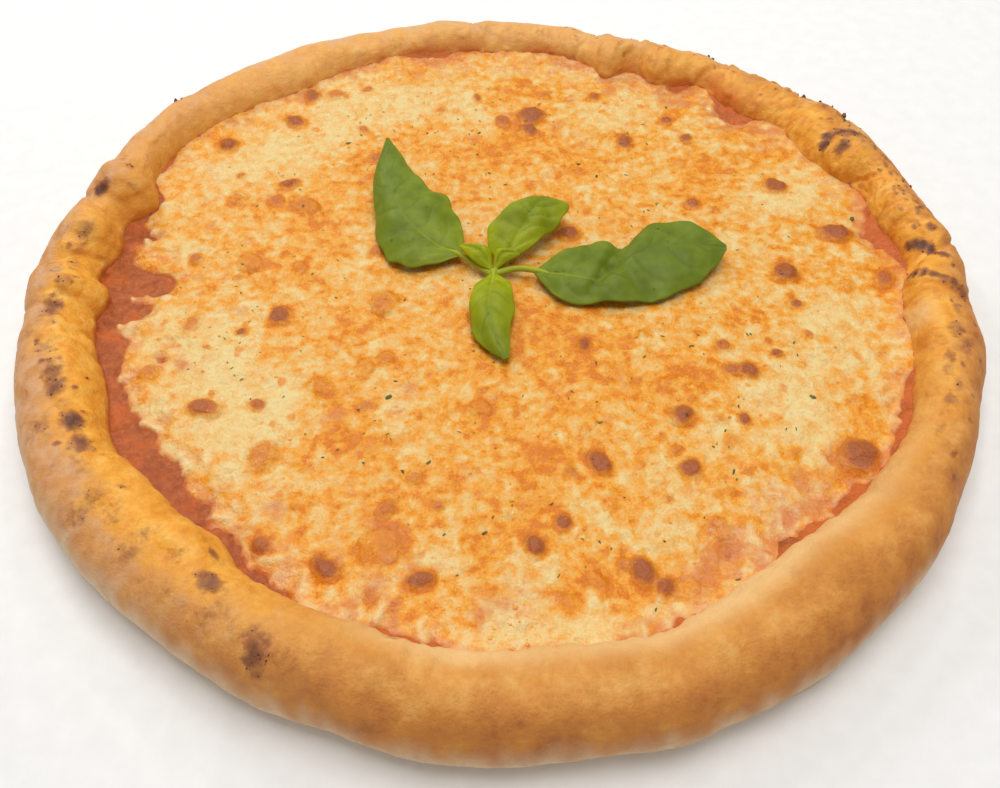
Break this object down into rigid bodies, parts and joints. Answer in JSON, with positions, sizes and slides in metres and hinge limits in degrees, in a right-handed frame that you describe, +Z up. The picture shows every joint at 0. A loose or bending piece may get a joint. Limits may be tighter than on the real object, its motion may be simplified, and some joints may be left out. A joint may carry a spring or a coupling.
{
  "type": "margherita pizza",
  "caption": "Whole baked round pizza with a puffed rim, tomato sauce, melted blistered cheese and a sprig of basil on top.",
  "frame": {"origin": "middle of the round underside, on the surface that the pizza lies on", "axes": "+Z up out of the topping, +X to the right and +Y to the far side as the picture shows it"},
  "size_m": [0.3054, 0.3027, 0.0246],
  "materials": {
    "baked_dough": "baked, dry and slightly rough",
    "tomato_sauce": "moist, soft gloss",
    "melted_cheese": "melted, oily gloss",
    "basil_leaf": "waxy leaf"
  },
  "bodies": {
    "root": {"crust": "baked_dough", "sauce": "tomato_sauce", "cheese": "melted_cheese", "basil_sprig": "basil_leaf"}
  },
  "joints": []
}
